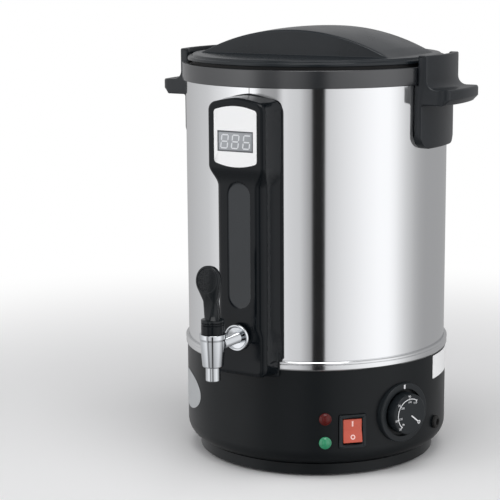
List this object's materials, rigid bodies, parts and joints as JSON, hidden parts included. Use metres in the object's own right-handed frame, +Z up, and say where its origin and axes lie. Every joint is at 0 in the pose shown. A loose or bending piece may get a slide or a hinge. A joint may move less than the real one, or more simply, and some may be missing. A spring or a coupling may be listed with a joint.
{
  "type": "electric wax melter",
  "caption": "Steel pot with a heated base, lift-off lid, side grips, spring-closed front tap, digital display column, temperature dial and rocker switch.",
  "frame": {"origin": "on the axis of the pot at the level of the floor", "axes": "+Z up along the axis of the pot; -Y towards the tap and the display; +X towards the right-hand grip as seen from the tap"},
  "size_m": [0.302, 0.3171, 0.3939],
  "materials": {
    "black_plastic": "satin",
    "dark_grey_plastic": "satin",
    "stainless_steel": "brushed",
    "tank_steel": "satin",
    "chrome": "polished",
    "aluminium_plate": "matt",
    "screw_steel": "satin",
    "brass": "satin",
    "spring_steel": "satin",
    "rubber": "matt",
    "silicone": "matt",
    "heater_sheath": "matt",
    "ceramic": "matt",
    "copper_tube": "satin",
    "red_orange_plastic": "gloss",
    "red_lens": "gloss",
    "green_lens": "gloss",
    "white_nylon": "matt",
    "cable_sheath": "satin",
    "label_film": "satin",
    "display_lens": "gloss",
    "circuit_board": "satin",
    "grey_label": "satin"
  },
  "bodies": {
    "melter": {"base_housing": "black_plastic", "bottom_cover": "black_plastic", "rubber_feet": "rubber", "bottom_screws": "screw_steel", "base_band": "stainless_steel", "jacket": "stainless_steel", "collar": "dark_grey_plastic", "inner_tank": "tank_steel", "tank_bottom": "tank_steel", "heat_plate": "aluminium_plate", "heating_element": "heater_sheath", "heat_shield": "tank_steel", "centre_stud": "screw_steel", "centre_nut": "screw_steel", "thermal_cutout": "ceramic", "thermostat_body": "brass", "thermostat_screws": "screw_steel", "capillary_bulb": "copper_tube", "dial_bezel": "black_plastic", "switch_frame": "black_plastic", "switch_tabs": "brass", "red_lamp": "red_lens", "green_lamp": "green_lens", "lamp_nuts": "white_nylon", "cord_gland": "black_plastic", "gland_nut": "black_plastic", "terminal_block": "ceramic", "internal_wiring": "cable_sheath", "column_cover": "black_plastic", "column_screws": "screw_steel", "display_label": "label_film", "display_window": "display_lens", "display_module": "circuit_board", "temperature_probe": "tank_steel", "probe_nut": "screw_steel", "tap_shank": "chrome", "tap_escutcheon": "chrome", "tap_spacer": "aluminium_plate", "tap_gaskets": "silicone", "tap_nut": "screw_steel", "tap_body": "chrome", "tap_bonnet": "black_plastic", "left_handle": "dark_grey_plastic", "right_handle": "dark_grey_plastic", "handle_screws": "screw_steel", "rating_sticker": "label_film", "round_badge": "grey_label"},
    "lid": {"lid_shell": "dark_grey_plastic", "lid_liner": "tank_steel", "lid_gasket": "rubber", "lid_screws": "screw_steel"},
    "lever": {"tap_lever": "black_plastic"},
    "stem": {"tap_stem": "screw_steel", "tap_seat": "white_nylon", "tap_pin": "screw_steel", "tap_spring": "spring_steel"},
    "dial": {"dial_knob": "black_plastic", "thermostat_shaft": "screw_steel"},
    "rocker": {"switch_rocker": "red_orange_plastic"}
  },
  "joints": [
    {"name": "lid_lift", "type": "slide", "parent": "melter", "child": "lid", "axis": [0, 0, 1], "range_m": [0, 0.15]},
    {"name": "lever_pull", "type": "hinge", "parent": "melter", "child": "lever", "pos_m": [0, -0.1918, 0.15375], "axis": [1, 0, 0], "range_deg": [0, 35], "stiffness_Nm_per_rad": 0.2, "springref_deg": -17.19},
    {"name": "stem_slide", "type": "slide", "parent": "melter", "child": "stem", "axis": [0, 0, 1], "range_m": [0, 0.0055], "deforming": ["tap_spring"]},
    {"name": "dial_turn", "type": "hinge", "parent": "melter", "child": "dial", "pos_m": [0.10385, -0.04196, 0.0555], "axis": [0.9272, -0.3746, 0], "range_deg": [-135, 129]},
    {"name": "rocker_press", "type": "hinge", "parent": "melter", "child": "rocker", "pos_m": [0.08239, -0.08531, 0.0445], "axis": [0.7193, 0.6947, 0], "range_deg": [0, 14]}
  ],
  "couplings": [
    {"joint": "stem_slide", "follows": "lever_pull", "m_per_rad": 0.009}
  ]
}
